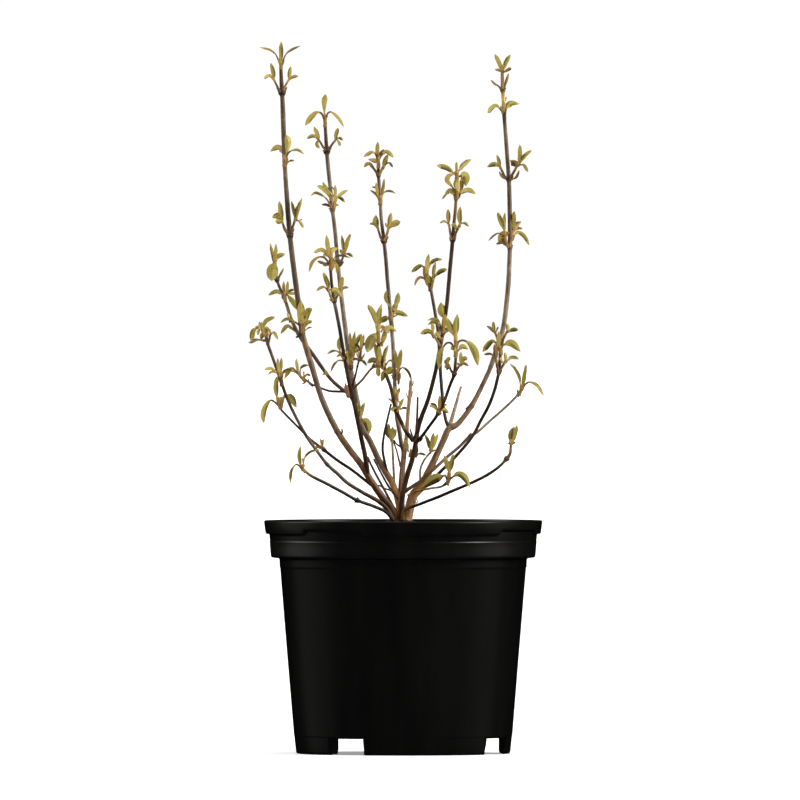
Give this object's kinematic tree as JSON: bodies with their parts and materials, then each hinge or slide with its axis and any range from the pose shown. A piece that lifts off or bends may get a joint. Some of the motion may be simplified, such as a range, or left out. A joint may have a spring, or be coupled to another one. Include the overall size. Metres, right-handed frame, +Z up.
{
  "type": "potted young beautyberry shrub",
  "caption": "Many-stemmed young deciduous shrub with sparse spring leaves in opposite tufts, standing in a round black plastic nursery container.",
  "frame": {"origin": "on the container's axis, at the flat pad in the middle of its underside, which rests on the ground", "axes": "+Z up along the container's axis, -Y towards the viewer of the picture, +X to the viewer's right"},
  "size_m": [0.264, 0.2504, 0.6388],
  "materials": {
    "pot_plastic": "satin black moulded plastic",
    "compost": "rough, crumbly",
    "bark_dark": "dull dark brown bark",
    "bark_grey": "dull grey-brown bark",
    "bark_tan": "dull tan bark",
    "leaf": "soft satin, olive green to gold"
  },
  "bodies": {
    "root": {"bough_fork_left": "bark_dark", "bough_front_left": "bark_dark", "bough_knob_left": "bark_dark", "bough_knob_right": "bark_dark", "bough_low_left": "bark_dark", "bough_tall_fork": "bark_dark", "compost": "compost", "crown_base": "bark_dark", "leaves_basal_left_tip": "leaf", "leaves_basal_right_tip": "leaf", "leaves_centre_left_2": "leaf", "leaves_centre_left_3": "leaf", "leaves_centre_left_4": "leaf", "leaves_centre_left_5": "leaf", "leaves_centre_left_tip": "leaf", "leaves_centre_right_2": "leaf", "leaves_centre_right_3": "leaf", "leaves_centre_right_tip": "leaf", "leaves_fork_2": "leaf", "leaves_fork_3": "leaf", "leaves_fork_4": "leaf", "leaves_fork_5": "leaf", "leaves_fork_left_2": "leaf", "leaves_fork_left_tip": "leaf", "leaves_fork_tip": "leaf", "leaves_front_left_2": "leaf", "leaves_front_left_3": "leaf", "leaves_front_left_tip": "leaf", "leaves_front_right_tip": "leaf", "leaves_knob_left_2": "leaf", "leaves_knob_left_tip": "leaf", "leaves_knob_right_tip": "leaf", "leaves_low_left_2": "leaf", "leaves_low_left_tip": "leaf", "leaves_right_dark_tip": "leaf", "leaves_right_tall_2": "leaf", "leaves_right_tall_3": "leaf", "leaves_right_tall_4": "leaf", "leaves_right_tall_tip": "leaf", "leaves_slant_left_tip": "leaf", "leaves_slant_right_tip": "leaf", "leaves_tall_fork_tip": "leaf", "leaves_tall_left_2": "leaf", "leaves_tall_left_3": "leaf", "leaves_tall_left_4": "leaf", "leaves_tall_left_5": "leaf", "leaves_tall_left_tip": "leaf", "pot": "pot_plastic", "stem_basal_left": "bark_dark", "stem_basal_right": "bark_dark", "stem_centre_left": "bark_grey", "stem_centre_right": "bark_dark", "stem_fork": "bark_grey", "stem_low_left": "bark_dark", "stem_right_dark": "bark_dark", "stem_right_slant": "bark_grey", "stem_right_tall": "bark_tan", "stem_tall_left": "bark_grey", "twig_front_right": "bark_dark"}
  },
  "joints": []
}
